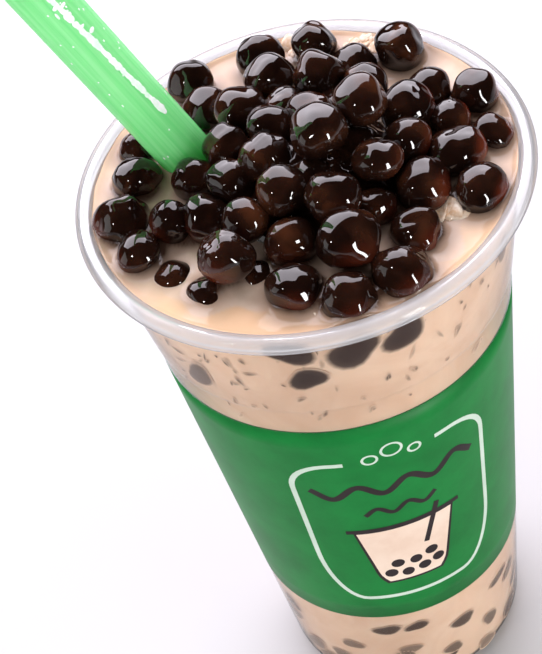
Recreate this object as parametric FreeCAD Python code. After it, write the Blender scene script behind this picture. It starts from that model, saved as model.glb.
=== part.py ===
import FreeCAD, Part
import math
import os
from FreeCAD import Base

# Bubble tea in its takeaway cup, millimetres, +Z up.
# The origin is the centre of the cup's base, on the surface that it stands on.

# Cup: a thin tapered shell with a stacking step below a rolled rim.
cup_wall = 0.6
cup_floor = 1.0
base_radius = 28.7            # wall's outer radius, carried down to the base plane
corner_radius = 5.0
wall_taper = 0.0895           # radius gained for each mm of height, below the step
step_height = 121.0
step_width = 0.4
step_rise = 0.8
rim_height = 149.1            # centre of the rim's rolled section
rim_radius = 47.7             # widest radius of the roll
curl_radius = 2.0             # rolled section, to the outside of its sheet
curl_turn = 235.0             # degrees of roll, from the inner wall over the top

# Moulded ring under the floor.
groove_radius = 15.0
groove_width = 3.0
groove_depth = 0.4

# Drink: its level is a little below the rim's top.
tea_below_rim = 2.0
tea_level = rim_height + curl_radius - tea_below_rim

# Straw: leans to the left, with its lower end near the far wall.
straw_diameter = 11.3
straw_wall = 0.35
straw_length = 210.0
straw_lean = 20.0             # degrees from upright
straw_bearing = 184.9         # degrees, the way its top leans
straw_across = -22.0          # axis at the tea's level
straw_back = 14.0
straw_rest_gap = 0.3

# Tapioca pearls: across and back from the cup's axis, then diameter, in layers
# named for how far their centres stand above the tea's level.
afloat_rise = 1.5
sunk_rise = -2.5
low_rise = 3.5
second_rise = 6.5
third_rise = 9.5
crown_rise = 14.5

heap_low = (
    (-21.5, 3.0, 9.0), (-27.5, -8.0, 9.0), (-16.0, 23.0, 9.6), (29.5, 12.0, 9.2),
    (31.5, 1.5, 9.0), (31.0, -8.0, 10.8), (-20.5, -9.5, 10.4), (12.5, -17.5, 8.0),
    (22.0, -15.0, 11.4), (-5.5, -21.5, 10.6),
)
heap_second = (
    (-9.5, 17.0, 10.4), (-2.0, 23.5, 10.8), (16.5, 14.5, 9.6), (-13.5, 6.5, 10.3),
    (-14.5, -4.0, 9.6), (-13.0, -16.0, 9.4), (21.5, -5.0, 10.0), (5.5, -28.0, 11.8),
    (-18.5, -24.0, 10.8), (0.5, 13.5, 9.4), (24.0, 4.5, 11.0), (12.5, -2.5, 9.0),
    (10.5, 9.0, 9.4), (1.5, -9.0, 9.0),
)
heap_third = (
    (8.0, 18.5, 10.3), (-4.0, 5.5, 9.8), (-6.5, -3.0, 10.3), (-4.5, -13.5, 10.6),
    (4.5, -18.5, 10.8), (15.0, -11.5, 9.6), (4.5, 6.0, 9.8),
)
heap_crown = ((14.5, 1.5, 11.0), (5.0, -4.5, 11.6))
loose_sunk = ((-30.5, -18.0, 9.0), (-23.5, -25.5, 9.6), (-13.5, -24.0, 8.5))
loose_afloat = (
    (17.5, 28.0, 9.8), (40.0, -4.0, 8.8), (34.0, -18.5, 10.8), (19.0, -24.5, 10.0),
    (14.5, -35.0, 11.4), (3.5, -37.5, 11.0), (-6.5, -32.0, 11.0), (-35.0, -12.5, 9.0),
    (-38.5, -2.0, 11.2), (-33.5, 9.0, 10.2), (-31.0, 18.0, 8.6),
)
loose_low = (
    (-18.5, 33.0, 9.6), (-3.0, 36.0, 9.6), (9.0, 35.0, 9.8), (26.0, 28.0, 10.4),
    (38.0, 8.0, 9.4),
)

# Heap: its pearls close over a solid core.
core_radius = 22.0
core_top = 11.5
core_depth = 4.0
core_across = 2.0
core_back = -1.0
heap_nip = 0.3                # how far its pearls are pressed together at least

# A single pearl is a ball that has settled a little.
pearl_squat = 0.92            # its height over its width
pearl_side = 0.41             # radius of its rounded side, over its width
pearl_tilt = 14.0             # degrees at most
pearl_gap = 0.2
settling_steps = 200


def vec(x, y, z):
    return Base.Vector(x, y, z)


def arc_edge(centre, radius, start, end):
    """An arc in the XZ plane, its angles in degrees from +X towards +Z."""
    points = []
    for angle in (start, (start + end) / 2, end):
        turn = math.radians(angle)
        points.append(centre + vec(radius * math.cos(turn), 0, radius * math.sin(turn)))
    return Part.Arc(*points).toShape()


def run_edges(points):
    """Straight edges through (radius, height) points."""
    places = [vec(radius, 0, height) for radius, height in points]
    return [Part.LineSegment(a, b).toShape() for a, b in zip(places, places[1:])]


def spin(edges):
    """The solid that a closed outline in the XZ plane sweeps round the Z axis."""
    wire = Part.Wire(Part.__sortEdges__(edges))
    solid = Part.Face(wire).revolve(vec(0, 0, 0), vec(0, 0, 1), 360)
    return solid.Solids[0] if solid.Solids else Part.Solid(solid.Shells[0])


def wall_line(offset):
    """(radius, height) points up one side of the wall, offset inward from its outside."""
    across = offset * math.hypot(1, wall_taper)
    ledge = base_radius + wall_taper * step_height - across
    lip = rim_radius - 2 * curl_radius + cup_wall - offset
    return [
        (ledge, step_height),
        (ledge + step_width, step_height + step_rise),
        (lip, rim_height),
    ]


def corner(offset, floor, radius):
    """Centre of the arc between a floor and the wall, and where it meets each."""
    slant = math.hypot(1, wall_taper)
    foot = base_radius - offset * slant
    height = floor + radius
    centre = vec(foot + wall_taper * height - radius * slant, 0, height)
    wall_angle = -math.degrees(math.atan(wall_taper))
    return centre, wall_angle


def wall_side(offset, floor, radius):
    """Edges of one side of the cup, from its axis to the rim, without the roll."""
    centre, wall_angle = corner(offset, floor, radius)
    arc = arc_edge(centre, radius, -90, wall_angle)
    top = centre + vec(math.cos(math.radians(wall_angle)), 0, math.sin(math.radians(wall_angle))) * radius
    return arc, centre.x, [(top.x, top.z)] + wall_line(offset)


def curl_centre():
    return vec(rim_radius - curl_radius, 0, rim_height)


def inner_side(top):
    """Inside of the cup from the axis up to a (radius, height) point above its step."""
    arc, start, points = wall_side(cup_wall, cup_floor, corner_radius - cup_wall)
    return run_edges([(0, cup_floor), (start, cup_floor)]) + [arc] + run_edges(points[:-1] + [top])


def make_cup():
    arc, start, points = wall_side(0, 0, corner_radius)
    inside_groove = groove_radius - groove_width / 2
    outside_groove = groove_radius + groove_width / 2
    underside = [
        (0, cup_floor), (0, 0), (inside_groove, 0), (inside_groove, groove_depth),
        (outside_groove, groove_depth), (outside_groove, 0), (start, 0),
    ]
    end = 180 - curl_turn
    sheet_middle = curl_radius - cup_wall / 2
    tip = curl_centre() + vec(
        sheet_middle * math.cos(math.radians(end)), 0, sheet_middle * math.sin(math.radians(end)))
    roll = [arc_edge(tip, cup_wall / 2, end, end - 180)]
    for radius in (curl_radius, curl_radius - cup_wall):
        roll.append(arc_edge(curl_centre(), radius, 180, 90))
        roll.append(arc_edge(curl_centre(), radius, 90, end))
    inside = inner_side(wall_line(cup_wall)[-1])
    return spin(inside + run_edges(underside) + [arc] + run_edges(points) + roll)


def inner_radius(height):
    """Radius of the cup's inside at a height above its rounded corner."""
    ledge, shoulder, lip = wall_line(cup_wall)
    if height < step_height:
        return ledge[0] + (height - step_height) * wall_taper
    low, high = (ledge, shoulder) if height < shoulder[1] else (shoulder, lip)
    share = min(1, (height - low[1]) / (high[1] - low[1]))
    return low[0] + share * (high[0] - low[0])


def make_inside():
    """The space in the cup up to the tea's level."""
    edge = (inner_radius(tea_level), tea_level)
    return spin(inner_side(edge) + run_edges([edge, (0, tea_level), (0, cup_floor)]))


def straw_direction():
    lean, bearing = math.radians(straw_lean), math.radians(straw_bearing)
    level = math.sin(lean)
    return vec(level * math.cos(bearing), level * math.sin(bearing), math.cos(lean))


def straw_foot():
    """Centre of the straw's lower end: as deep as its end ring clears the cup."""
    along = straw_direction()
    side = along.cross(vec(0, 0, 1)).normalize()
    over = along.cross(side)
    centre = vec(straw_across, straw_back, tea_level)

    def clears(depth):
        end = centre - along * depth
        for turn in range(0, 360, 15):
            spoke = side * math.cos(math.radians(turn)) + over * math.sin(math.radians(turn))
            point = end + spoke * (straw_diameter / 2)
            room = inner_radius(point.z) - math.hypot(point.x, point.y)
            if room < straw_rest_gap or point.z < cup_floor + corner_radius:
                return False
        return True

    shallow, deep = 0.0, straw_length
    while deep - shallow > 0.01:
        middle = (shallow + deep) / 2
        shallow, deep = (middle, deep) if clears(middle) else (shallow, middle)
    return centre - along * shallow


def straw_rod(radius):
    return Part.makeCylinder(radius, straw_length, straw_foot(), straw_direction())


def make_straw():
    outside = straw_diameter / 2
    return straw_rod(outside).cut(straw_rod(outside - straw_wall)).Solids[0]


def placed(layer, rise):
    """[centre, diameter] of each pearl of a layer."""
    return [[vec(across, back, tea_level + rise), width] for across, back, width in layer]


def heap_pearls():
    layers = (
        (heap_low, low_rise), (heap_second, second_rise),
        (heap_third, third_rise), (heap_crown, crown_rise),
    )
    return [pearl for layer, rise in layers for pearl in placed(layer, rise)]


def core_ball():
    """[centre, diameter] of the ball whose top is the core's dome."""
    height = core_top + core_depth
    radius = (core_radius ** 2 + height ** 2) / (2 * height)
    return [vec(core_across, core_back, tea_level + core_top - radius), 2 * radius]


def gather(pearls):
    """Draws each pearl of the heap in until it is pressed on the core or on another."""
    joined = [core_ball()]
    for pearl in sorted(pearls, key=lambda one: (one[0] - joined[0][0]).Length):
        reach = [(pearl[0] - other[0]).Length - (pearl[1] + other[1]) / 2 for other in joined]
        nearest = min(reach)
        if nearest > -heap_nip:
            towards = (joined[reach.index(nearest)][0] - pearl[0]).normalize()
            pearl[0] += towards * (nearest + heap_nip)
        joined.append(pearl)


def settle(loose, fixed):
    """Moves the loose pearls until they clear each other, the heap, straw and wall."""
    along = straw_direction()
    on_straw = vec(straw_across, straw_back, tea_level)
    for step in range(settling_steps):
        for pearl in loose:
            push = vec(0, 0, 0)
            for other in loose + fixed:
                away = pearl[0] - other[0]
                short = (pearl[1] + other[1]) / 2 + pearl_gap - away.Length
                if other is not pearl and short > 0:
                    push += away.normalize() * short
            away = pearl[0] - on_straw
            away = away - along * away.dot(along)
            short = (pearl[1] + straw_diameter) / 2 + pearl_gap - away.Length
            if short > 0:
                push += away.normalize() * short
            out = vec(pearl[0].x, pearl[0].y, 0)
            over = out.Length + pearl[1] / 2 + pearl_gap - inner_radius(pearl[0].z)
            if over > 0:
                push -= out.normalize() * over
            pearl[0] += push / 2


def make_pearl(centre, width, number):
    """A settled ball: a rounded side between two flatter caps, tilted a little."""
    side = width * pearl_side
    inset = width / 2 - side
    lift = width * pearl_squat / 2 - side
    below = (inset ** 2 - lift ** 2) / (2 * lift)
    cap = math.hypot(inset, below) + side
    meet = math.degrees(math.atan2(below, inset))
    outline = [
        arc_edge(vec(0, 0, -below), cap, 90, meet),
        arc_edge(vec(inset, 0, 0), side, meet, -meet),
        arc_edge(vec(0, 0, below), cap, -meet, -90),
    ]
    top = cap - below
    outline += run_edges([(0, -top), (0, top)])
    ball = spin(outline)
    bearing = math.radians(number * 137.5)
    tilt = pearl_tilt * (0.4 + 0.6 * math.sin(number) ** 2)
    ball.rotate(vec(0, 0, 0), vec(math.cos(bearing), math.sin(bearing), 0), tilt)
    ball.translate(centre)
    return ball


def make_heap(pearls):
    """The heap's pearls, closed over a domed core and cut round the straw."""
    middle, width = core_ball()
    slab = Part.makeCylinder(width, width, vec(core_across, core_back, tea_level - core_depth))
    core = Part.makeSphere(width / 2, middle).common(slab)
    heap = core.multiFuse([Part.makeSphere(width / 2, centre, centre - middle)
                           for centre, width in pearls])
    return heap.cut(straw_rod(straw_diameter / 2 + pearl_gap))


def write(name, shape):
    assert shape.isValid() and len(shape.Solids) == 1, name
    shape.exportStep(os.path.join("parts", name + ".step"))
    print(name, "volume", round(shape.Volume, 1))


os.makedirs("parts", exist_ok=True)

in_heap = heap_pearls()
gather(in_heap)
loose_pearls = (placed(loose_sunk, sunk_rise) + placed(loose_afloat, afloat_rise)
                + placed(loose_low, low_rise))
settle(loose_pearls, in_heap + [core_ball()])

straw = make_straw()
heap = make_heap(in_heap)
singles = [make_pearl(centre, width, number)
           for number, (centre, width) in enumerate(loose_pearls, 1)]
tea = make_inside().cut([heap, straw] + singles)

write("cup", make_cup())
write("tea", tea)
write("straw", straw)
write("pearl_heap", heap)
for number, single in enumerate(singles, 1):
    write("pearl_%02d" % number, single)
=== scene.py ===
"""Bubble tea in a clear takeaway cup: its looks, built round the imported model."""

import math

import bpy
import numpy as np
from mathutils import Matrix, Vector


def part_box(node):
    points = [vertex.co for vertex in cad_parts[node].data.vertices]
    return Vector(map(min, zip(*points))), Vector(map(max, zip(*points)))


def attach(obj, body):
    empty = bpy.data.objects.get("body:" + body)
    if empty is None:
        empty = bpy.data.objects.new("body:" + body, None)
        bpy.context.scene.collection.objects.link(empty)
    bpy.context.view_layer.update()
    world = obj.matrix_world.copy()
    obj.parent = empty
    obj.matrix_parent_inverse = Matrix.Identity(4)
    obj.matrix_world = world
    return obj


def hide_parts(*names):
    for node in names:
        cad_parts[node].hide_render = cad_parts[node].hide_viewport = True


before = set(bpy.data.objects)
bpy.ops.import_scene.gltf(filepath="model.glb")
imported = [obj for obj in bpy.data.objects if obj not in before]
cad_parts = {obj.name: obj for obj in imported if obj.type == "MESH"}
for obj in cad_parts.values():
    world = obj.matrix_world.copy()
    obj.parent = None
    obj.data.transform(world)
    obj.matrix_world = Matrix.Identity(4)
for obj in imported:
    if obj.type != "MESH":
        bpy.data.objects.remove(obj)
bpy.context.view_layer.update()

# Shapes are worked out in millimetres, and MM turns them into metres.
MM = 0.001
UP = np.array((0.0, 0.0, 1.0))
ROUND_SEGMENTS = 256   # round the cup and its band


def box_mm(node):
    """Lowest and highest corner of a CAD node, in millimetres."""
    low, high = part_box(node)
    return np.array(low) / MM, np.array(high) / MM


# Cup
CUP_WALL = 0.6
CUP_FLOOR = 1.0
BASE_RADIUS = 28.7
CORNER_RADIUS = 5.0
WALL_TAPER = 0.0895
STEP_HEIGHT = 121.0
STEP_WIDTH = 0.4
STEP_RISE = 0.8
CURL_RADIUS = 2.0
CURL_TURN = 235.0
RIM_SLACK = 0.1
GROOVE_RADIUS = 15.0
GROOVE_WIDTH = 3.0
GROOVE_DEPTH = 0.4
RIM_RADIUS = box_mm("cup")[1][0]
RIM_HEIGHT = box_mm("cup")[1][2] - CURL_RADIUS
TEA_LEVEL = box_mm("tea")[1][2]
TEA_INTO_WALL = 0.3

# Straw
STRAW_DIAMETER = 11.3
STRAW_WALL = 0.35
STRAW_LENGTH = 210.0
STRAW_LEAN = math.radians(20.0)
STRAW_BEARING = math.radians(184.9)
STRAW_MIDDLE = (box_mm("straw")[0] + box_mm("straw")[1]) / 2
SMEAR_SIDE = (0.37, -0.92, 0.11)   # the side of the straw that the drops run down
STRAW_AXIS = np.array((
    math.sin(STRAW_LEAN) * math.cos(STRAW_BEARING),
    math.sin(STRAW_LEAN) * math.sin(STRAW_BEARING),
    math.cos(STRAW_LEAN),
))

# Heap of pearls: across, back and diameter of each, in layers by the height of
# their centres above the tea's level.
HEAP_LAYERS = {
    3.5: (
        (-21.5, 3.0, 9.0), (-27.5, -8.0, 9.0), (-16.0, 23.0, 9.6), (29.5, 12.0, 9.2), (31.5, 1.5, 9.0),
        (31.0, -8.0, 10.8), (-20.5, -9.5, 10.4), (12.5, -17.5, 8.0), (22.0, -15.0, 11.4), (-5.5, -21.5, 10.6),
    ),
    6.5: (
        (-9.5, 17.0, 10.4), (-2.0, 23.5, 10.8), (16.5, 14.5, 9.6), (-13.5, 6.5, 10.3), (-14.5, -4.0, 9.6),
        (-13.0, -16.0, 9.4), (21.5, -5.0, 10.0), (5.5, -28.0, 11.8), (-18.5, -24.0, 10.8), (0.5, 13.5, 9.4),
        (24.0, 4.5, 11.0), (12.5, -2.5, 9.0), (10.5, 9.0, 9.4), (1.5, -9.0, 9.0),
    ),
    9.5: (
        (8.0, 18.5, 10.3), (-4.0, 5.5, 9.8), (-6.5, -3.0, 10.3), (-4.5, -13.5, 10.6), (4.5, -18.5, 10.8),
        (15.0, -11.5, 9.6), (4.5, 6.0, 9.8),
    ),
    14.5: ((14.5, 1.5, 11.0), (5.0, -4.5, 11.6)),
}
CORE_RADIUS = 20.0
CORE_TOP = 9.5
CORE_DEPTH = 4.0
CORE_MIDDLE = (2.0, -1.0)
PEARL_SQUAT = 0.94


def add_mesh(name, points, faces, materials, part=None):
    """A mesh object from points in millimetres. part gives each face's material number."""
    mesh = bpy.data.meshes.new(name)
    mesh.from_pydata((np.asarray(points) * MM).tolist(), [], [list(face) for face in faces])
    for material in materials:
        mesh.materials.append(material)
    if part is not None:
        mesh.polygons.foreach_set("material_index", np.asarray(part, dtype=np.int32))
    mesh.polygons.foreach_set("use_smooth", np.full(len(mesh.polygons), True))
    mesh.validate()
    mesh.update()
    piece = bpy.data.objects.new(name, mesh)
    bpy.context.scene.collection.objects.link(piece)
    return piece


class Batch:
    """Points and faces of several shapes for one mesh, with each face's material and each point's shade."""

    def __init__(self):
        self.points, self.faces, self.part, self.shade = [], [], [], []

    def add(self, points, faces, part=0, shade=()):
        first = len(self.points)
        self.points += [tuple(point) for point in points]
        self.faces += [tuple(first + corner for corner in face) for face in faces]
        self.part += [part] * len(faces)
        self.shade += list(shade)


def unit(vectors):
    return vectors / np.linalg.norm(vectors, axis=-1, keepdims=True)


def around(steps):
    """Even angles once round, in radians."""
    return np.linspace(0, 2 * math.pi, steps, endpoint=False)


def disc_faces(steps, rings):
    """Faces of a round sheet: a middle point, then rings of points outwards."""
    faces = [(0, 1 + i, 1 + (i + 1) % steps) for i in range(steps)]
    for ring in range(rings - 1):
        low, high = 1 + ring * steps, 1 + (ring + 1) * steps
        for i in range(steps):
            after = (i + 1) % steps
            faces.append((low + i, high + i, high + after, low + after))
    return faces


def turned_loop(loop, segments):
    """Points and faces of a closed section turned about the upright axis, such as a tube's."""
    points = [(radius * math.cos(turn), radius * math.sin(turn), height)
              for radius, height in loop for turn in around(segments)]
    faces = []
    for row in range(len(loop)):
        low, high = row * segments, (row + 1) % len(loop) * segments
        for turn in range(segments):
            after = (turn + 1) % segments
            faces.append((low + turn, low + after, high + after, high + turn))
    return points, faces


def finish_piece(piece, slot, *nodes):
    """Fastens a piece to the part and hides the CAD nodes it stands for. The slot is not used."""
    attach(piece, "root")
    if nodes:
        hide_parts(*nodes)
    return piece


# ---------------------------------------------------------------- materials


class Shader:
    """A material's node tree, with short calls for the nodes that the finishes share."""

    def __init__(self, name):
        self.material = bpy.data.materials.new(name)
        self.material.use_nodes = True
        self.nodes = self.material.node_tree.nodes
        self.links = self.material.node_tree.links
        self.surface = self.nodes["Principled BSDF"]
        self.output = self.nodes["Material Output"]

    def set(self, **values):
        for name, value in values.items():
            self.surface.inputs[name.replace("_", " ")].default_value = value

    def node(self, kind, **settings):
        made = self.nodes.new(kind)
        for name, value in settings.items():
            setattr(made, name, value)
        return made

    def join(self, source, target):
        self.links.new(source, target)

    def place(self):
        return self.node("ShaderNodeTexCoord").outputs["Object"]

    def stretched(self, scale):
        mapping = self.node("ShaderNodeMapping")
        mapping.inputs["Scale"].default_value = scale
        self.join(self.place(), mapping.inputs["Vector"])
        return mapping.outputs["Vector"]

    def noise(self, per_mm, detail=2.0, rough=0.5, twist=0.0, scale=(1, 1, 1)):
        """Noise whose blobs are about 1 / per_mm millimetres across."""
        made = self.node("ShaderNodeTexNoise")
        made.inputs["Scale"].default_value = per_mm / MM
        made.inputs["Detail"].default_value = detail
        made.inputs["Roughness"].default_value = rough
        made.inputs["Distortion"].default_value = twist
        self.join(self.stretched(scale), made.inputs["Vector"])
        return made.outputs["Fac"]

    def ramp(self, source, *stops):
        """Colours or greys along a value. Each stop is a place and a colour or a grey."""
        made = self.node("ShaderNodeValToRGB")
        bar = made.color_ramp.elements
        while len(bar) < len(stops):
            bar.new(1.0)
        for element, (place, colour) in zip(bar, stops):
            element.position = place
            element.color = (*colour, 1) if isinstance(colour, tuple) else (colour, colour, colour, 1)
        self.join(source, made.inputs["Fac"])
        return made.outputs["Color"]

    def mix(self, factor, first, second):
        """Two colours mixed by a socket or a number."""
        made = self.node("ShaderNodeMix", data_type="RGBA")
        for name, value in (("Factor", factor), ("A", first), ("B", second)):
            kinds = [s for s in made.inputs if s.name == name and s.enabled]
            if isinstance(value, bpy.types.NodeSocket):
                self.join(value, kinds[0])
            else:
                kinds[0].default_value = (*value, 1) if isinstance(value, tuple) else value
        return next(s for s in made.outputs if s.enabled)

    def bump(self, height, depth_mm, strength=1.0):
        made = self.node("ShaderNodeBump")
        made.inputs["Strength"].default_value = strength
        made.inputs["Distance"].default_value = depth_mm * MM
        self.join(height, made.inputs["Height"])
        self.join(made.outputs["Normal"], self.surface.inputs["Normal"])

    def colour(self, source):
        self.join(source, self.surface.inputs["Base Color"])


def linear(red, green, blue):
    """A screen colour of 0 to 255 as linear light."""
    levels = [value / 255 for value in (red, green, blue)]
    return tuple(v / 12.92 if v <= 0.04045 else ((v + 0.055) / 1.055) ** 2.4 for v in levels)


def pearl_finish():
    """Tapioca in syrup: nearly black and wet, with a painted amber glow of light getting in at the heap's
    edge.
    """
    shader = Shader("tapioca")
    patches = shader.noise(0.13, detail=2.5, twist=0.5)
    depth = shader.ramp(
        patches, (0.38, linear(21, 10, 7)), (0.55, linear(35, 18, 12)), (0.74, linear(64, 34, 20)))
    # Painted glow: amber where light would shine through the pearls at the heap's edge.
    amber = shader.node("ShaderNodeAttribute", attribute_name="amber").outputs["Fac"]
    shader.colour(shader.mix(amber, depth, linear(134, 52, 30)))
    shader.set(Roughness=0.04, IOR=1.53, Subsurface_Weight=0.12, Subsurface_Scale=0.0012)
    shader.surface.inputs["Subsurface Radius"].default_value = (1.0, 0.3, 0.1)
    shader.bump(shader.noise(0.42, detail=1.2, twist=0.3), 0.07, strength=0.3)
    return shader.material


def tea_finish():
    """Milk tea: opaque and wet, paler on top, tan in patches, and near the pearls browned by syrup and
    darkened by painted shade and a painted contact shadow.
    """
    shader = Shader("milk_tea")

    def share(name):
        return shader.node("ShaderNodeAttribute", attribute_name=name).outputs["Fac"]

    cloud = shader.noise(0.05, detail=4.0, rough=0.55, twist=1.2)
    side = shader.ramp(cloud, (0.35, linear(226, 191, 163)), (0.65, linear(235, 205, 179)))
    top = shader.ramp(cloud, (0.35, linear(210, 181, 159)), (0.65, linear(224, 200, 182)))
    colour = shader.mix(share("film"), side, top)
    colour = shader.mix(share("tan"), colour, linear(226, 186, 148))
    # Painted shade round and between the pearls, with a haze of syrup.
    colour = shader.mix(share("cloudy"), colour, linear(146, 122, 107))
    # Syrup stain, with a painted contact shadow round each pearl's waterline.
    colour = shader.mix(share("stain"), colour, linear(48, 27, 18))
    colour = shader.mix(share("sunk"), colour, linear(44, 20, 14))
    shader.colour(colour)
    shader.set(Roughness=0.12, IOR=1.34, Subsurface_Weight=0.2, Subsurface_Scale=0.0015)
    shader.surface.inputs["Subsurface Radius"].default_value = (1.0, 0.6, 0.4)
    shader.bump(shader.noise(0.25, detail=2.0), 0.12, strength=0.3)
    return shader.material


def clear_finish(name, haze, lit_through, roughness, index):
    """Thin clear plastic: a gloss that grows at grazing angles, over a milkiness of strength haze.

    lit_through is how much of the milky part lets light through, and index how strong the gloss is.
    """
    shader = Shader(name)
    shader.nodes.remove(shader.surface)

    def blend(share, first, second):
        made = shader.node("ShaderNodeMixShader")
        if isinstance(share, float):
            made.inputs[0].default_value = share
        else:
            shader.join(share, made.inputs[0])
        shader.join(first, made.inputs[1])
        shader.join(second, made.inputs[2])
        return made.outputs[0]

    def coloured(kind, colour):
        made = shader.node(kind)
        made.inputs["Color"].default_value = (*colour, 1)
        return made.outputs[0]

    white = linear(250, 251, 255)
    facing, behind = coloured("ShaderNodeBsdfDiffuse", white), coloured("ShaderNodeBsdfTranslucent", white)
    milky = blend(lit_through, facing, behind)
    cloud = shader.noise(0.12, detail=2.0, scale=(1, 1, 0.3))
    share = shader.ramp(cloud, (0.3, haze * 0.92), (0.7, haze * 1.08))
    body = blend(share, shader.node("ShaderNodeBsdfTransparent").outputs[0], milky)
    gloss = shader.node("ShaderNodeBsdfGlossy")
    gloss.inputs["Roughness"].default_value = roughness
    edge = shader.node("ShaderNodeFresnel")
    edge.inputs["IOR"].default_value = index
    shader.join(blend(edge.outputs[0], body, gloss.outputs[0]), shader.output.inputs["Surface"])
    return shader.material


def straw_finish():
    """Green extruded plastic, drawn out into streaks, with painted shade deepening the green near where it
    stands in the tea.
    """
    shader = Shader("straw_plastic")
    streaks = shader.noise(0.9, detail=3.0, rough=0.6, scale=(1, 1, 0.02))
    light = shader.ramp(streaks, (0.35, linear(158, 242, 174)), (0.65, linear(192, 252, 202)))
    deep = shader.ramp(streaks, (0.35, linear(128, 236, 150)), (0.65, linear(158, 244, 172)))
    # Painted shade: the green is deeper near the tea, where the pearls shade the straw.
    wet = shader.node("ShaderNodeAttribute", attribute_name="wet").outputs["Fac"]
    green = shader.mix(wet, light, deep)
    shader.colour(green)
    shader.set(Roughness=0.2, IOR=1.45)
    shader.bump(streaks, 0.05, strength=0.3)
    lit_through = shader.node("ShaderNodeBsdfTranslucent")
    shader.join(green, lit_through.inputs["Color"])
    body = shader.node("ShaderNodeMixShader")
    body.inputs[0].default_value = 0.5
    shader.join(shader.surface.outputs[0], body.inputs[1])
    shader.join(lit_through.outputs[0], body.inputs[2])
    shader.join(body.outputs[0], shader.output.inputs["Surface"])
    return shader.material


def droplet_finish():
    """Drops on the straw, wet and coloured white: a painted highlight on real drops."""
    shader = Shader("milk_drops")
    cloud = shader.noise(0.5, detail=2.0)
    # White as a painted highlight on the drops.
    shader.colour(shader.ramp(cloud, (0.3, linear(226, 252, 232)), (0.7, linear(255, 255, 255))))
    shader.set(Roughness=0.05, IOR=1.34)
    return shader.material


def print_finish(name, colour, dark):
    """Printed ink with a faint mottle and a satin gloss."""
    shader = Shader(name)
    mottle = shader.noise(0.08, detail=5.0, rough=0.6)
    shader.colour(shader.ramp(mottle, (0.35, dark), (0.65, colour)))
    shader.set(Roughness=0.42, IOR=1.3, Specular_IOR_Level=0.3)
    shader.bump(shader.noise(2.2, detail=2.0), 0.02, strength=0.3)
    return shader.material


def ice_finish():
    """Ice stained a little by the tea."""
    shader = Shader("ice")
    cloud = shader.noise(0.7, detail=3.0)
    shader.colour(shader.ramp(cloud, (0.35, linear(222, 184, 150)), (0.65, linear(250, 234, 216))))
    shader.set(Roughness=0.12, IOR=1.31, Transmission_Weight=0.25)
    return shader.material


# ---------------------------------------------------------------- cup


def wall_radius(height, inset=0.0):
    """Radius of the cup's wall at a height, measured inset millimetres in from its outside."""
    across = inset * math.hypot(1, WALL_TAPER)
    ledge = BASE_RADIUS + WALL_TAPER * STEP_HEIGHT - across
    lip = RIM_RADIUS - 2 * CURL_RADIUS + CUP_WALL - inset
    heights = (0, STEP_HEIGHT, STEP_HEIGHT + STEP_RISE, RIM_HEIGHT)
    return np.interp(height, heights, (BASE_RADIUS - across, ledge, ledge + STEP_WIDTH, lip))


def arc(centre, radius, start, end, steps):
    angles = np.radians(np.linspace(start, end, steps + 1))
    return [(centre[0] + radius * math.cos(a), centre[1] + radius * math.sin(a)) for a in angles]


def corner_arc(inset, floor, radius, steps=10):
    """The rounded corner between floor and wall, from the floor outwards."""
    height = floor + radius
    slant = math.hypot(1, WALL_TAPER)
    across = BASE_RADIUS - inset * slant + WALL_TAPER * height - radius * slant
    return arc((across, height), radius, -90, -math.degrees(math.atan(WALL_TAPER)), steps)


def wall_run(inset, top, from_height):
    """Points up the wall, with the step between its two straight stretches."""
    step_top = STEP_HEIGHT + STEP_RISE
    rows = (60.0, STEP_HEIGHT - 0.5, STEP_HEIGHT, step_top, step_top + 0.5, 135.0)
    heights = [height for height in rows if from_height < height < top]
    return [(float(wall_radius(height, inset)), height) for height in heights + [top]]


def cup_profile():
    """The cup's section, once round its sheet from the middle of its underside."""
    inner = corner_arc(CUP_WALL, CUP_FLOOR, CORNER_RADIUS - CUP_WALL)
    outer = corner_arc(0, 0, CORNER_RADIUS)
    curl = (RIM_RADIUS - CURL_RADIUS, RIM_HEIGHT)
    end = 180 - CURL_TURN
    middle = CURL_RADIUS - CUP_WALL / 2
    tip = (curl[0] + middle * math.cos(math.radians(end)), curl[1] + middle * math.sin(math.radians(end)))
    groove = [(GROOVE_RADIUS + side * GROOVE_WIDTH / 2, depth)
              for side, depth in ((1, 0), (0.8, GROOVE_DEPTH), (-0.8, GROOVE_DEPTH), (-1, 0))]
    inside = [(0, CUP_FLOOR)] + inner + wall_run(CUP_WALL, RIM_HEIGHT, inner[-1][1])
    roll = arc(curl, CURL_RADIUS, 180, end, 26)[1:]
    lip = arc(tip, CUP_WALL / 2, end, end - 180, 6)[1:-1]
    back = arc(curl, CURL_RADIUS - CUP_WALL, end, 180, 20)
    outside = wall_run(0, RIM_HEIGHT, outer[-1][1])[::-1][1:] + outer[::-1]
    return (inside + roll + lip + back + outside + groove + [(0, 0)])[::-1]


def lathe(profile, segments):
    """Points and faces of a section turned about the upright axis. Its ends lie on the axis."""
    turns = around(segments)
    ring = profile[1:-1]
    points = [(0, 0, profile[0][1])]
    for radius, height in ring:
        for turn in turns:
            points.append((radius * math.cos(turn), radius * math.sin(turn), height))
    points.append((0, 0, profile[-1][1]))
    last = len(points) - 1
    faces = []
    for turn in range(segments):
        after = (turn + 1) % segments
        faces.append((0, 1 + after, 1 + turn))
        for row in range(len(ring) - 1):
            low, high = 1 + row * segments, 1 + (row + 1) * segments
            faces.append((low + turn, low + after, high + after, high + turn))
        end = 1 + (len(ring) - 1) * segments
        faces.append((last, end + turn, end + after))
    return np.array(points), faces


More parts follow.
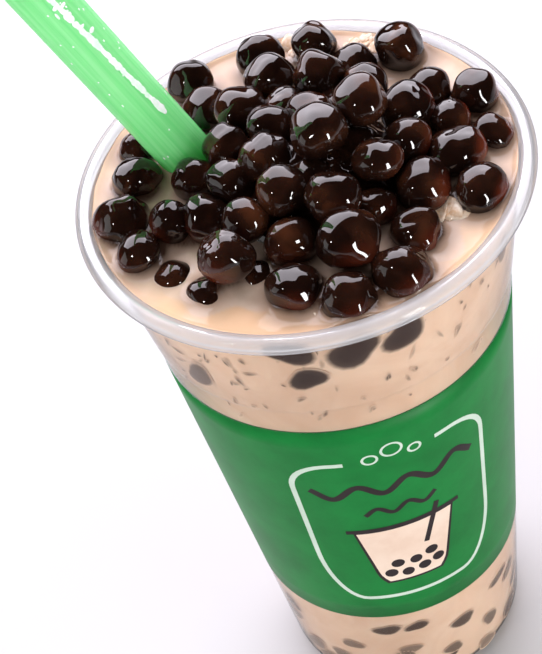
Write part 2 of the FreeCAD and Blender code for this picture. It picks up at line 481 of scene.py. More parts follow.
def on_rim(corners):
    """Whether a face of the cup, given by its corners, is part of the rolled rim."""
    lowest = min(corner[2] for corner in corners)
    widest = max(math.hypot(corner[0], corner[1]) for corner in corners)
    past_wall = RIM_RADIUS - 2 * CURL_RADIUS - 2 * RIM_SLACK
    return lowest > RIM_HEIGHT - CURL_RADIUS - RIM_SLACK and widest > past_wall


def make_cup():
    points, faces = lathe(cup_profile(), ROUND_SEGMENTS)
    part = [int(on_rim([points[corner] for corner in face])) for face in faces]
    wall = clear_finish("clear_plastic", 0.012, 0.2, 0.04, 1.22)
    rim = clear_finish("rim_plastic", 0.34, 0.5, 0.03, 1.24)
    cup = add_mesh("cup_shell", points, faces, (wall, rim), part)
    return finish_piece(cup, "clear_plastic", "cup")


# ---------------------------------------------------------------- print


BAND_LOW = 35.6
BAND_HIGH = 113.65
BAND_INTO_WALL = 0.32   # as far as the tea, so that no gap shows above the band
BAND_PROUD = 0.03
BAND_ROWS = 14
INK_PROUD = 0.02        # each ink over the one below it
EMBLEM_TURN = math.radians(5.5)   # to the right of the front
EMBLEM_MIDDLE = 73.5
WHITE, DARK, CREAM = 0, 1, 2

# Sizes in the emblem are in millimetres across the wall and up the cup.
FRAME_HALF_WIDTH = 21.5
FRAME_LOW, FRAME_HIGH = 45.0, 101.0
FRAME_CORNER = 9.0
FRAME_FOOT_STRETCH = 2.2   # the lower corners are taller than they are wide
FRAME_LINE = 1.25
FRAME_GAP = 8.5            # half the gap in the frame's top
RINGS = ((-4.2, 101.4, 3.0), (0.4, 103.2, 4.2), (5.0, 101.0, 2.6))   # across, height, width
RING_LINE = 0.55
WAVES = ((18, 90.0, 1.9, 0.58, 1.8), (8, 81.2, 1.2, 0.9, 1.3))   # half width, height, swing, pace, line
TUMBLER_OUTLINE = (74.0, 16.6, 23.6, 23.2)   # top, foot's width, top's width, height
TUMBLER_FILL = (73.2, 15.2, 22.2, 21.6)
PEARL_DOTS = ((-5.6, 55.2), (-1.6, 54.4), (2.6, 55.0), (6.2, 56.2), (-3.6, 58.8), (0.8, 58.6), (4.8, 60.0))


def on_wall(across, height, proud):
    """A flat design wrapped round the cup: across runs along the wall from the emblem's middle."""
    radius = wall_radius(height) + proud
    turn = EMBLEM_TURN + across / wall_radius(EMBLEM_MIDDLE)
    return np.stack([radius * np.sin(turn), -radius * np.cos(turn), height], -1)


def make_band():
    heights = np.linspace(BAND_LOW, BAND_HIGH, BAND_ROWS)
    loop = [(float(wall_radius(height)) + BAND_PROUD, height) for height in heights]
    loop += [(float(wall_radius(height)) - BAND_INTO_WALL, height) for height in heights[::-1]]
    points, faces = turned_loop(loop, ROUND_SEGMENTS)
    ink = print_finish("green_print", linear(16, 122, 52), linear(10, 106, 44))
    band = add_mesh("printed_band", points, faces, (ink,))
    return finish_piece(band, "clear_plastic")


def stroke(path, width, closed=False):
    """A flat line of even width along a path, as points and faces."""
    path = np.array(path, float)
    ahead = np.roll(path, -1, 0) - path
    behind = path - np.roll(path, 1, 0)
    if not closed:
        ahead[-1] = behind[-1]
        behind[0] = ahead[0]
    along = unit(unit(ahead) + unit(behind))
    side = np.stack([-along[:, 1], along[:, 0]], -1) * width / 2
    points = np.concatenate([path - side, path + side])
    count = len(path)
    faces = [(i, (i + 1) % count, count + (i + 1) % count, count + i)
             for i in range(count if closed else count - 1)]
    return points, faces


def oval(centre, width, tall, steps=28):
    return [(centre[0] + width / 2 * math.cos(turn), centre[1] + tall / 2 * math.sin(turn))
            for turn in around(steps)]


def disc(centre, width, tall, steps=28, rings=5):
    """A filled oval, in rings so that it follows the wall."""
    points = [centre]
    for ring in range(1, rings + 1):
        points += oval(centre, width * ring / rings, tall * ring / rings, steps)
    return np.array(points, float), disc_faces(steps, rings)


def tumbler(top, foot_width, top_width, tall, rows=14, columns=14):
    """A filled upright shape that widens upwards, with rounded lower corners."""
    points = []
    for row in range(rows + 1):
        rise = row / rows
        width = foot_width + (top_width - foot_width) * rise
        tuck = 1 - 0.16 * max(0.0, 1 - rise * 5) ** 2
        for column in range(columns + 1):
            points.append((width * tuck * (column / columns - 0.5), top - tall * (1 - rise)))
    faces = []
    for row in range(rows):
        for column in range(columns):
            first = row * (columns + 1) + column
            faces.append((first, first + 1, first + columns + 2, first + columns + 1))
    return np.array(points), faces


def rounded_frame(half_width, low, high, radius, steps=10):
    """A frame with four rounded corners, closed, counter-clockwise from the lower right."""
    foot = low + radius * FRAME_FOOT_STRETCH
    corners = (
        (half_width - radius, foot, -90, FRAME_FOOT_STRETCH),
        (half_width - radius, high - radius, 0, 1.0),
        (-half_width + radius, high - radius, 90, 1.0),
        (-half_width + radius, foot, 180, FRAME_FOOT_STRETCH),
    )
    path = []
    for across, height, start, stretch in corners:
        for angle in np.radians(np.linspace(start, start + 90, steps + 1)):
            path.append((across + radius * math.cos(angle), height + radius * stretch * math.sin(angle)))
    return fill_in(path, 1.5)


def fill_in(path, most):
    """The same closed path with no stretch longer than most."""
    filled = []
    for start, end in zip(path, path[1:] + path[:1]):
        parts = max(1, math.ceil(math.dist(start, end) / most))
        filled += [(start[0] + (end[0] - start[0]) * i / parts, start[1] + (end[1] - start[1]) * i / parts)
                   for i in range(parts)]
    return filled


def frame_line():
    """The frame's path, open at the middle of its top."""
    path = rounded_frame(FRAME_HALF_WIDTH, FRAME_LOW, FRAME_HIGH, FRAME_CORNER)
    in_gap = [height > FRAME_HIGH - 1 and abs(across) < FRAME_GAP for across, height in path]
    start = in_gap.index(True)
    order = list(range(start, len(path))) + list(range(start))
    return [path[i] for i in order if not in_gap[i]]


def make_emblem():
    """A thin frame, three rings, two waves and a tumbler of pearls: plain shapes on the band."""
    inks = (
        print_finish("white_print", linear(206, 220, 206), linear(186, 206, 188)),
        print_finish("dark_print", linear(48, 38, 40), linear(38, 30, 32)),
        print_finish("cream_print", linear(238, 216, 198), linear(226, 198, 178)),
    )
    emblem = Batch()

    def print_shape(shape, ink, layer=0):
        flat, faces = shape
        emblem.add(on_wall(flat[:, 0], flat[:, 1], BAND_PROUD + INK_PROUD * (1 + layer)), faces, ink)

    print_shape(stroke(frame_line(), FRAME_LINE), WHITE)
    for across, height, width in RINGS:
        print_shape(stroke(oval((across, height), width, width), RING_LINE, closed=True), WHITE)
    for half, height, swing, pace, line in WAVES:
        wave = [(across, height + swing * math.sin(across * pace)) for across in np.linspace(-half, half, 90)]
        print_shape(stroke(wave, line), DARK)
    print_shape(tumbler(*TUMBLER_OUTLINE), DARK)
    print_shape(tumbler(*TUMBLER_FILL), CREAM, 1)
    lip = [(-13.2 + i * 1.32, 74.2) for i in range(21)]
    straw = [(4.0 + i * 0.35, 64.0 + i * 1.25) for i in range(12)]
    print_shape(stroke(lip, 1.4), DARK, 2)
    print_shape(stroke(straw, 1.3), DARK, 2)
    for number, place in enumerate(PEARL_DOTS):
        print_shape(disc(place, 3.2 - 0.2 * (number % 2), 3.2), DARK, 2)
    marks = add_mesh("print_marks", emblem.points, emblem.faces, inks, emblem.part)
    return finish_piece(marks, "clear_plastic")


# ---------------------------------------------------------------- pearls


FLATS = 7
FLAT_REACH = (0.87, 1.04)    # nearest and farthest flat, as shares of the radius
FACET_SHARPNESS = 8
FACET_SWELL = 1.09           # makes up for what the flats take away
WAVE_PACES = np.repeat((2.2, 4.0, 7.5), 3)
WAVE_SIZES = np.repeat((0.030, 0.010, 0.0035), 3)
DEEPEST_DENT = 0.09
DENT_SHARPNESS = 14
TOUCH_GAP = 0.3              # pearls nearer than this press flats on each other
JOIN_GAP = 1.6               # pearls nearer than this are joined by syrup
JOIN_BLEND = 0.42            # how far syrup bridges two pearls
JOIN_REACH = 0.7
JOIN_ROUNDS = 4
MOST_MOVE = 0.3
TUCK = 0.04                  # keeps the hidden surfaces of touching pearls apart
AMBER_SIDE = np.array((0.94, 0.34, 0.0))   # the side where the painted glow is strongest, where most light gets into the heap
PEARL_LEVEL = 4              # how often a pearl's grid is split
HEAP_SEED, LONE_SEED = 100, 500


class Pearl:
    """A lumpy, slightly squared ball: its centre, size, flats and waves."""

    def __init__(self, centre, width, seed):
        rng = np.random.default_rng(seed)
        self.centre = np.array(centre, float)
        self.width = width
        self.flat_ways = unit(rng.normal(size=(FLATS, 3)))
        self.flat_reach = rng.uniform(*FLAT_REACH, FLATS)
        self.wave_ways = rng.normal(size=(len(WAVE_PACES), 3)) * WAVE_PACES[:, None]
        self.wave_starts = rng.uniform(0, 2 * math.pi, len(WAVE_PACES))
        self.dent_way = unit(rng.normal(size=3))
        self.dent = rng.uniform(0.0, DEEPEST_DENT)

    def add_flat(self, way, reach):
        self.flat_ways = np.vstack([self.flat_ways, way])
        self.flat_reach = np.append(self.flat_reach, reach)

    def radius(self, ways):
        """How far the surface is from the centre, along each unit direction."""
        towards = np.maximum(ways @ self.flat_ways.T, 0) / self.flat_reach
        blocky = (1 + (towards ** FACET_SHARPNESS).sum(1)) ** (-1 / FACET_SHARPNESS)
        waves = (np.sin(ways @ self.wave_ways.T + self.wave_starts) * WAVE_SIZES).sum(1)
        dent = self.dent * np.exp(-(1 - ways @ self.dent_way) * DENT_SHARPNESS)
        squat = np.sqrt(1 / (ways[:, 0] ** 2 + ways[:, 1] ** 2 + (ways[:, 2] / PEARL_SQUAT) ** 2))
        return self.width / 2 * FACET_SWELL * blocky * squat * (1 + waves - dent)

    def distance(self, points):
        """About how far points are outside the surface."""
        away = points - self.centre
        length = np.linalg.norm(away, axis=1)
        return length - self.radius(away / length[:, None])


def ball_grid(level):
    """Unit directions and triangles of a ball made from an icosahedron, split level times."""
    golden = (1 + math.sqrt(5)) / 2
    corners = [(-1, golden, 0), (1, golden, 0), (-1, -golden, 0), (1, -golden, 0),
               (0, -1, golden), (0, 1, golden), (0, -1, -golden), (0, 1, -golden),
               (golden, 0, -1), (golden, 0, 1), (-golden, 0, -1), (-golden, 0, 1)]
    faces = [(0, 11, 5), (0, 5, 1), (0, 1, 7), (0, 7, 10), (0, 10, 11), (1, 5, 9), (5, 11, 4),
             (11, 10, 2), (10, 7, 6), (7, 1, 8), (3, 9, 4), (3, 4, 2), (3, 2, 6), (3, 6, 8),
             (3, 8, 9), (4, 9, 5), (2, 4, 11), (6, 2, 10), (8, 6, 7), (9, 8, 1)]
    points = [unit(np.array(corner, float)) for corner in corners]
    for _ in range(level):
        halves, split = {}, []

        def half(a, b):
            key = (min(a, b), max(a, b))
            if key not in halves:
                halves[key] = len(points)
                points.append(unit(points[a] + points[b]))
            return halves[key]

        for a, b, c in faces:
            ab, bc, ca = half(a, b), half(b, c), half(c, a)
            split += [(a, ab, ca), (b, bc, ab), (c, ca, bc), (ab, bc, ca)]
        faces = split
    return np.array(points), faces


def neighbours(pearl, others, gap):
    return [other for other in others if other is not pearl
            and np.linalg.norm(other.centre - pearl.centre) < (other.width + pearl.width) / 2 + gap]


def press_together(pearls):
    """Gives each pearl a flat where it meets each one beside it."""
    for pearl in pearls:
        for other in neighbours(pearl, pearls, TOUCH_GAP):
            between = other.centre - pearl.centre
            apart = np.linalg.norm(between)
            share = (apart ** 2 + (pearl.width ** 2 - other.width ** 2) / 4) / (2 * apart)
            pearl.add_flat(between / apart, min(1.0, share / (pearl.width / 2)) * 0.97)


def blended(points, pearl, beside):
    """Distance to the pearl and those beside it, joined by small fillets of syrup."""
    parts = np.stack([one.distance(points) for one in [pearl] + beside])
    least = parts.min(0)
    return least - JOIN_BLEND * np.log(np.exp(-(parts - least) / JOIN_BLEND).sum(0))


def skin(pearl, others, grid):
    """The pearl's surface points, drawn out to its neighbours where syrup joins them."""
    points = pearl.centre + grid * pearl.radius(grid)[:, None]
    beside = neighbours(pearl, others, JOIN_GAP)
    if not beside:
        return points
    nearest = np.stack([other.distance(points) for other in beside]).min(0)
    close = (nearest > -JOIN_REACH) & (nearest < 5 * JOIN_BLEND)
    moving = points[close]
    step = 0.02
    for _ in range(JOIN_ROUNDS):
        value = blended(moving, pearl, beside)
        rises = [blended(moving + step * axis, pearl, beside) - value for axis in np.eye(3)]
        slope = np.stack(rises, -1) / step
        steep = np.maximum((slope ** 2).sum(1), 0.25)
        moving = moving - np.clip(value / steep, -MOST_MOVE, MOST_MOVE)[:, None] * slope
    inside = np.clip(-nearest[close] / JOIN_REACH, 0, 1)
    moving = moving - unit(moving - pearl.centre) * (TUCK * inside)[:, None]
    points[close] = moving
    return points


def amber_at(points, pearl):
    """Painted glow, for the light that gets in: on the outward side of pearls that stand out from the heap.
    """
    outward = unit(pearl.centre * (1, 1, 0))
    facing = unit(points - pearl.centre) @ (outward * 0.92 - UP * 0.25)
    edge = np.clip((math.hypot(*pearl.centre[:2]) - 16) / 16, 0, 1)
    lit = 0.26 + 0.55 * max(0.0, float(outward @ AMBER_SIDE))
    return np.clip((facing - 0.4) / 0.6, 0, 1) ** 1.5 * edge * lit


def tint(piece, **values):
    """Stores a value between 0 and 1 at each point, for the material to read."""
    for name, numbers in values.items():
        layer = piece.data.attributes.new(name, "FLOAT", "POINT")
        layer.data.foreach_set("value", np.array(numbers, dtype=np.float32))


def lone_pearls():
    """The pearls that have a CAD node each, where those nodes are."""
    names = sorted(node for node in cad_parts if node.startswith("pearl_") and node != "pearl_heap")
    pearls = {}
    for number, name in enumerate(names):
        low, high = box_mm(name)
        pearls[name] = Pearl((low + high) / 2, float(max(high - low)), LONE_SEED + number)
    return pearls


def heap_pearls():
    pearls = []
    for rise, layer in HEAP_LAYERS.items():
        for across, back, width in layer:
            pearls.append(Pearl((across, back, TEA_LEVEL + rise), width, HEAP_SEED + len(pearls)))
    return pearls


def make_core():
    """Points and faces of the low dome under the heap's pearls."""
    turns, rows = 72, 18
    radius = (CORE_RADIUS ** 2 + CORE_TOP ** 2) / (2 * CORE_TOP)
    profile = [(0, TEA_LEVEL - CORE_DEPTH), (CORE_RADIUS, TEA_LEVEL - CORE_DEPTH)]
    for row in range(rows):
        across = CORE_RADIUS * (1 - row / rows)
        profile.append((across, TEA_LEVEL + CORE_TOP - radius + math.sqrt(radius ** 2 - across ** 2)))
    profile.append((0, TEA_LEVEL + CORE_TOP))
    points, faces = lathe(profile, turns)
    relief = np.sin(points[:, 0] * 1.1) * np.sin(points[:, 1] * 1.3 + 1) * 0.7
    points = points + np.outer(relief * (points[:, 2] > TEA_LEVEL), UP)
    points[:, :2] += CORE_MIDDLE
    return points, faces


def make_pearls(material):
    heap, lone = heap_pearls(), lone_pearls()
    everything = heap + list(lone.values())
    press_together(everything)
    grid, triangles = ball_grid(PEARL_LEVEL)
    core_points, core_faces = make_core()
    batch = Batch()
    batch.add(core_points, core_faces, shade=np.zeros(len(core_points)))
    for pearl in heap:
        surface = skin(pearl, everything, grid)
        batch.add(surface, triangles, shade=amber_at(surface, pearl))
    heaped = add_mesh("heaped_pearls", batch.points, batch.faces, (material,))
    # The heap's painted glow of light through the pearls' outward edges.
    tint(heaped, amber=batch.shade)
    finish_piece(heaped, "tapioca", "pearl_heap")
    for name, pearl in lone.items():
        surface = skin(pearl, everything, grid)
        piece = add_mesh("loose_" + name, surface, triangles, (material,))
        tint(piece, amber=amber_at(surface, pearl))
        finish_piece(piece, "tapioca", name)
    return everything


# ---------------------------------------------------------------- tea


RIM_MENISCUS = 0.9
PEARL_MENISCUS = 1.4
STRAW_MENISCUS = 0.9
SUNK_PEARLS = (   # turn in degrees, height, length, width, slant, darkness
    (-11.9, 134.0, 8.4, 8.0, 0.2, 0.97),
    (1.6, 140.6, 12.0, 10.5, 0.1, 0.97),
    (15.8, 140.4, 10.0, 10.4, 0.5, 0.97),
    (-14.2, 143.4, 10.5, 8.5, -0.2, 0.97),
)
LOW_PEARL_ROWS = (   # height, number, longest
    (6.5, 17, 9.5), (13.0, 15, 9.0), (20.5, 13, 8.5), (28.0, 11, 7.5),
)
SLENDER_BITS = 210
SLENDER_WIDTH = 2.0
ICE_CLUSTERS = (   # across, back, number of chips
    (26.0, -20.5, 9), (29.5, -15.5, 6), (19.5, 35.5, 7), (1.0, -33.5, 5), (5.0, 40.0, 4), (-2.0, -36.5, 3),
)


def waterline(pearl):
    """Radius of a pearl where the tea's level cuts it, or None."""
    rise = pearl.centre[2] - TEA_LEVEL - PEARL_MENISCUS
    half = pearl.width / 2
    return math.sqrt(half ** 2 - rise ** 2) if abs(rise) < half else None


def fade(distance, reach):
    """1 at an edge and inside it, falling off outside it over about reach millimetres."""
    return np.exp(-np.maximum(distance, 0) / reach)


def tea_surface(across, back, pearls):
    """Height of the tea's surface, with its syrup stain and painted contact shadow, its painted shade and
    syrup haze near the pearls, and how tan it is.
    """
    near = np.full(across.shape, 1e3)
    syrup, lift = np.zeros(across.shape), np.zeros(across.shape)
    for pearl in pearls:
        line = waterline(pearl)
        if line is None:
            continue
        away = np.hypot(across - pearl.centre[0], back - pearl.centre[1]) - line
        near = np.minimum(near, away)
        syrup += fade(away, 1.9)
        lift += fade(away, 1.1)
    entry = STRAW_MIDDLE + STRAW_AXIS * straw_level()
    from_straw = np.hypot((across - entry[0]) * math.cos(STRAW_LEAN), back - entry[1]) - STRAW_DIAMETER / 2
    from_wall = wall_radius(TEA_LEVEL, CUP_WALL) - np.hypot(across, back)
    height = TEA_LEVEL - 0.1 + PEARL_MENISCUS * np.minimum(lift, 1.5)
    height += STRAW_MENISCUS * fade(from_straw, 1.2)
    height += RIM_MENISCUS * fade(from_wall, 1.0)
    height += 0.12 * np.sin(across * 0.31 + 1.0) * np.sin(back * 0.27)
    height += 0.06 * np.sin(across * 0.7 + back * 0.55)

    swirl_across = np.sin(across * 1.1 + 2 * np.sin(back * 0.6))
    swirl_back = np.sin(back * 1.3 + 1.5 * np.sin(across * 0.5))
    webs = 1.3 * np.maximum(syrup - 0.7, 0) * (0.62 + 0.38 * swirl_across * swirl_back)
    # Syrup webs, and a painted contact shadow close round each pearl.
    stain = np.clip(0.66 * fade(near, 0.7) + webs, 0, 0.95)
    # Painted shade near the pearls, with a haze of syrup.
    cloudy = 0.8 * np.exp(-(np.maximum(near, 0) / 3.6) ** 2)

    turn = np.arctan2(back, across)
    patch_edge = 5.5 + 2.2 * np.sin(turn * 9 + 0.6) + 1.1 * np.sin(turn * 23)
    patch = np.clip((-back - 18) / 10, 0, 1) * np.clip((patch_edge - from_wall) / 0.7, 0, 1)
    tan = np.maximum(patch * 0.8, 0.6 * np.exp(-from_wall / 2.5))
    return height, stain, cloudy, tan


def make_tea(pearls, material):
    segments, step = 360, 0.5
    radius = float(wall_radius(TEA_LEVEL, TEA_INTO_WALL))
    rings = np.append(np.arange(step, radius - 0.2, step), radius)
    turns = around(segments)
    across = np.outer(rings, np.cos(turns)).ravel()
    back = np.outer(rings, np.sin(turns)).ravel()
    height, *tones = tea_surface(across, back, pearls)
    middle = tea_surface(np.zeros(1), np.zeros(1), pearls)[0]
    points = [(0, 0, float(middle[0])), *zip(across, back, height)]
    on_top = len(points)
    corner = corner_arc(TEA_INTO_WALL, TEA_INTO_WALL + 0.3, CORNER_RADIUS - TEA_INTO_WALL)
    rows_down = (145.0, 135.0, STEP_HEIGHT + STEP_RISE, STEP_HEIGHT, 100.0, 75.0, 50.0, 25.0, 12.0)
    side = [(float(wall_radius(row, TEA_INTO_WALL)), row) for row in rows_down] + corner[::-1]
    for reach, row in side:
        points += [(reach * math.cos(turn), reach * math.sin(turn), row) for turn in turns]
    points.append((0, 0, corner[0][1]))
    below = [0.0] * (len(points) - on_top)
    stain, cloudy, tan = ([0.0, *tone, *below] for tone in tones)
    rows = len(rings) + len(side)
    faces = []
    for turn in range(segments):
        after = (turn + 1) % segments
        faces.append((0, 1 + turn, 1 + after))
        for row in range(rows - 1):
            low, high = 1 + row * segments, 1 + (row + 1) * segments
            faces.append((low + turn, high + turn, high + after, low + after))
        end = 1 + (rows - 1) * segments
        faces.append((len(points) - 1, end + after, end + turn))
    tea = add_mesh("milk_tea", points, faces, (material,))
    tint(tea, film=[1.0] * on_top + below, stain=stain, cloudy=cloudy, tan=tan)
    return finish_piece(tea, "milk_tea", "tea")


def wall_patch(turn, height, length, width, slant, rng, steps=18):
    """A soft-edged spot on the inside of the wall, and how dark each of its points is.

    Sunk pearls have a narrow soft edge, and they lie nearer than the slender bits.
    """
    pearl = width > SLENDER_WIDTH
    angles = around(steps)
    starts = rng.uniform(0, 2 * math.pi, 2)
    outline = 1 + 0.14 * np.sin(2 * angles + starts[0]) + 0.10 * np.sin(3 * angles + starts[1])
    shares = np.array((0.45, 0.78, 0.87, 0.94, 1.0) if pearl else (0.25, 0.45, 0.65, 0.85, 1.0))
    soft_from = 0.76 if pearl else 0.2
    rings = len(shares)
    spread = np.concatenate([[0], np.outer(shares, outline).ravel()])
    angles = np.concatenate([[0], np.tile(angles, rings)])
    along, beside = spread * length / 2 * np.cos(angles), spread * width / 2 * np.sin(angles)
    heights = height + along * math.sin(slant) + beside * math.cos(slant)
    radius = wall_radius(heights, TEA_INTO_WALL - (0.2 if pearl else 0.1))
    turns = turn + (along * math.cos(slant) - beside * math.sin(slant)) / radius
    points = np.stack([radius * np.sin(turns), -radius * np.cos(turns), heights], -1)
    fading = np.clip((shares - soft_from) / (1 - soft_from), 0, 1) ** 1.3
    dark = np.concatenate([[1], np.repeat(1 - fading, steps)])
    return points, disc_faces(steps, rings), dark


def make_wall_marks(material):
    """Sunk pearls that press against the wall, and slender bits, seen through a film of milk."""
    rng = np.random.default_rng(41)
    marks = list(SUNK_PEARLS)
    for turn in range(48, 330, 24):
        marks.append((turn + rng.uniform(-8, 8), rng.uniform(127, 143), rng.uniform(5, 11), rng.uniform(4, 8),
                      rng.uniform(-0.5, 0.9), rng.uniform(0.5, 0.95)))
    for height, count, longest in LOW_PEARL_ROWS:
        for number in range(count):
            marks.append(((number + rng.uniform(-0.35, 0.35)) * 360 / count + height * 5,
                          height + rng.uniform(-2.5, 2.5), rng.uniform(5.0, longest),
                          rng.uniform(2.2, longest * 0.62), rng.uniform(-0.2, 0.9), rng.uniform(0.6, 0.97)))
    for _ in range(SLENDER_BITS):
        marks.append((rng.uniform(0, 360), rng.uniform(BAND_HIGH + 2, RIM_HEIGHT - 5), rng.uniform(0.9, 4.4),
                      rng.uniform(0.6, 1.6), rng.normal(math.pi / 2 * 0.75, 0.5), rng.uniform(0.3, 0.85)))
    batch = Batch()
    for turn, height, length, width, slant, darkest in marks:
        spot, faces, dark = wall_patch(math.radians(turn), height, length, width, slant, rng)
        batch.add(spot, faces, shade=dark * darkest)
    piece = add_mesh("wall_marks", batch.points, batch.faces, (material,))
    tint(piece, sunk=batch.shade)
    return finish_piece(piece, "milk_tea")


def make_ice():
    """Chips of ice breaking the surface."""
    rng = np.random.default_rng(23)
    grid, triangles = ball_grid(2)
    batch = Batch()
    for across, back, count in ICE_CLUSTERS:
        for _ in range(count):
            place = np.array((across + rng.normal(0, 1.6), back + rng.normal(0, 1.3), TEA_LEVEL + 0.3))
            size = rng.uniform(1.1, 2.4, 3) * (1, 1, 0.5)
            chip = np.sign(grid) * np.abs(grid) ** 0.6 * size
            chip = chip * (1 + 0.25 * np.sin(grid @ rng.normal(0, 3, (3, 1)) + rng.uniform(0, 6)))
            turn = rng.uniform(0, math.pi)
            cos, sin = math.cos(turn), math.sin(turn)
            spin = np.array(((cos, -sin, 0.2), (sin, cos, 0.1), (0, -0.2, 1)))
            batch.add(place + chip @ spin.T, triangles)
    ice = add_mesh("ice_chips", batch.points, batch.faces, (ice_finish(),))
    return finish_piece(ice, "milk_tea")


# ---------------------------------------------------------------- straw


# How far above the tea the straw's painted shade reaches.
WET_LENGTH = 8.0
# The run of drops, white as a painted highlight, as heights above the tea along the straw.
RUN_LOW, RUN_WIDE, RUN_HIGH = 17.0, 43.0, 64.0
RUN_START, RUN_DRIFT = 24.0, 22.0   # degrees round the straw at its foot, and how far it turns


def make_straw():
    """A thin tube in its own frame, with its axis upright, then put in place."""
    outer, inner = STRAW_DIAMETER / 2, STRAW_DIAMETER / 2 - STRAW_WALL
    heights = np.linspace(-STRAW_LENGTH / 2, STRAW_LENGTH / 2, 60)
    loop = [(outer, height) for height in heights] + [(inner, height) for height in heights[::-1]]
    points, faces = turned_loop(loop, 96)
    straw = add_mesh("green_straw", points, faces, (straw_finish(),))
    above_tea = np.array([point[2] for point in points]) - straw_level()
    # Painted shade, fading out over the first millimetres above the tea.
    tint(straw, wet=np.clip(1 - above_tea / WET_LENGTH, 0, 1))
    straw.matrix_world = straw_frame()
    return finish_piece(straw, "straw_plastic", "straw")


def straw_level():
    """Where the straw's axis crosses the tea's level, from the straw's middle."""
    return (TEA_LEVEL - STRAW_MIDDLE[2]) / STRAW_AXIS[2]


def straw_frame():
    """Places what is made about an upright axis, with +X to the front, on the straw."""
    front = Vector(SMEAR_SIDE) - Vector(STRAW_AXIS) * Vector(SMEAR_SIDE).dot(Vector(STRAW_AXIS))
    front.normalize()
    turn = Matrix((front, Vector(STRAW_AXIS).cross(front), Vector(STRAW_AXIS))).transposed().to_4x4()
    return Matrix.Translation(Vector(STRAW_MIDDLE * MM)) @ turn


def bead(middle, height, half_width, half_length, thick, steps=20, rings=4):
    """A low drop on the straw: its middle as an angle, and its half sizes in millimetres."""
    radius = STRAW_DIAMETER / 2
    points = []
    for ring in range(rings + 1):
        share = ring / rings
        reach = radius + thick * (1 - share ** 2) + 0.01
        for step in range(steps if ring else 1):
            angle = 2 * math.pi * step / steps
            turn = middle + half_width * share * math.cos(angle) / radius
            points.append((reach * math.cos(turn), reach * math.sin(turn),
                           height + half_length * share * math.sin(angle)))
    return points, disc_faces(steps, rings)


def run_turn(height):
    """The angle of the run of white drops round the straw, at a height above the tea."""
    return math.radians(RUN_START - RUN_DRIFT * (height - RUN_LOW) / (RUN_HIGH - RUN_LOW))


def make_straw_drops():
    """A run of drops down the front of the straw, coloured white as a painted highlight, with loose beads
    beside it.
    """
    rng = np.random.default_rng(11)
    beads = []
    for height in np.arange(RUN_LOW, RUN_HIGH, 0.55):
        width = 0.32 + 0.30 * math.sin(height * 0.42) ** 2 + 0.22 * rng.random()
        if rng.random() < 0.93:
            beads.append((run_turn(height) + rng.normal(0, 0.012), height, width,
                          rng.uniform(0.7, 1.3), 0.10))
    for height in np.arange(RUN_WIDE, RUN_HIGH - 2, 0.8):
        beads.append((run_turn(height) + rng.normal(0, 0.10), height, rng.uniform(0.25, 0.75),
                      rng.uniform(0.3, 1.0), 0.14))
    for _ in range(26):
        beads.append((rng.uniform(-1.2, 1.2), rng.uniform(6, 80), 0.18, rng.uniform(0.18, 0.4), 0.10))
    batch = Batch()
    for middle, height, half_width, half_length, thick in beads:
        batch.add(*bead(middle, straw_level() + height, half_width, half_length, thick))
    piece = add_mesh("straw_drops", batch.points, batch.faces, (droplet_finish(),))
    piece.matrix_world = straw_frame()
    return finish_piece(piece, "straw_plastic")


# ---------------------------------------------------------------- set


FLOOR_REACH = 3000.0
AMBIENT = 0.6
CAMERA_LENS = 110.1
CAMERA_PLACE = (0, -0.30062, 0.42570)
CAMERA_FORWARD = (-0.0337, 0.6867, -0.7262)
CAMERA_UP = (0.2410, 0.7107, 0.6609)


def add_light(name, way, distance, width, height, radiance, colour=(1, 1, 1)):
    """A panel that shines on the drink from a direction, with the brightness it shows in a mirror."""
    target = Vector((0, 0, TEA_LEVEL * MM))
    place = target + Vector(way).normalized() * distance
    lamp = bpy.data.lights.new(name, "AREA")
    lamp.shape = "RECTANGLE"
    lamp.size, lamp.size_y = width, height
    lamp.energy = radiance * math.pi * width * height
    lamp.color = colour
    light = bpy.data.objects.new(name, lamp)
    light.location = place
    light.rotation_euler = (target - place).to_track_quat("-Z", "Y").to_euler()
    bpy.context.scene.collection.objects.link(light)
    return light


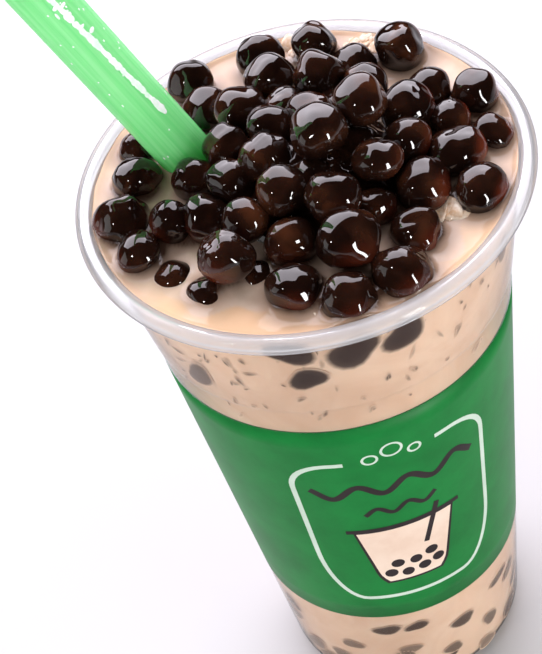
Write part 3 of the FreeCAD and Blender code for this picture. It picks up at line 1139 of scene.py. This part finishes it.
def make_set():
    shader = Shader("floor")
    shader.set(Base_Color=(0.46, 0.46, 0.47, 1), Roughness=0.6)
    low, high = -FLOOR_REACH, FLOOR_REACH
    floor = add_mesh("floor", [(low, low, 0), (high, low, 0), (high, high, 0), (low, high, 0)],
                     [(0, 1, 2, 3)], (shader.material,))
    add_light("back_panel", (-0.10, 0.76, 0.66), 0.75, 1.40, 0.86, 5.2, (0.97, 0.91, 1.0))
    highlights = add_light("right_panel", (0.50, -0.85, 0.17), 0.80, 0.13, 0.46, 30.0)
    add_light("left_bulb", (-0.63, -0.48, 0.61), 0.90, 0.06, 0.06, 60.0)
    add_light("left_card", (-0.99, -0.10, 0.18), 0.60, 0.42, 0.32, 1.2)
    front_fill = add_light("front_fill", (-0.35, -0.92, 0.15), 0.90, 0.90, 0.60, 1.9)
    right_fill = add_light("right_fill", (0.80, -0.58, 0.12), 0.80, 0.50, 0.60, 3.6)
    highlights.visible_diffuse = False
    front_fill.visible_glossy = right_fill.visible_glossy = False
    world = bpy.data.worlds.new("studio")
    world.use_nodes = True
    backdrop = world.node_tree.nodes["Background"]
    backdrop.inputs["Strength"].default_value = AMBIENT
    backdrop.inputs["Color"].default_value = (1, 1, 1, 1)
    world.cycles_visibility.glossy = False
    bpy.context.scene.world = world
    bpy.context.scene.view_settings.view_transform = "Standard"


def make_camera():
    """Looks down on the drink from in front, turned a little about its own line of sight."""
    data = bpy.data.cameras.new("camera")
    data.lens = CAMERA_LENS
    data.sensor_width = 36.0
    data.clip_start, data.clip_end = 0.02, 20.0
    camera = bpy.data.objects.new("camera", data)
    bpy.context.scene.collection.objects.link(camera)
    forward = Vector(CAMERA_FORWARD).normalized()
    right = forward.cross(Vector(CAMERA_UP)).normalized()
    above = right.cross(forward)
    turn = Matrix((right, above, -forward)).transposed().to_4x4()
    camera.matrix_world = Matrix.Translation(Vector(CAMERA_PLACE)) @ turn
    bpy.context.scene.camera = camera


make_cup()
make_band()
make_emblem()
every_pearl = make_pearls(pearl_finish())
milk = tea_finish()
make_tea(every_pearl, milk)
make_wall_marks(milk)
make_ice()
make_straw()
make_straw_drops()
make_set()
make_camera()
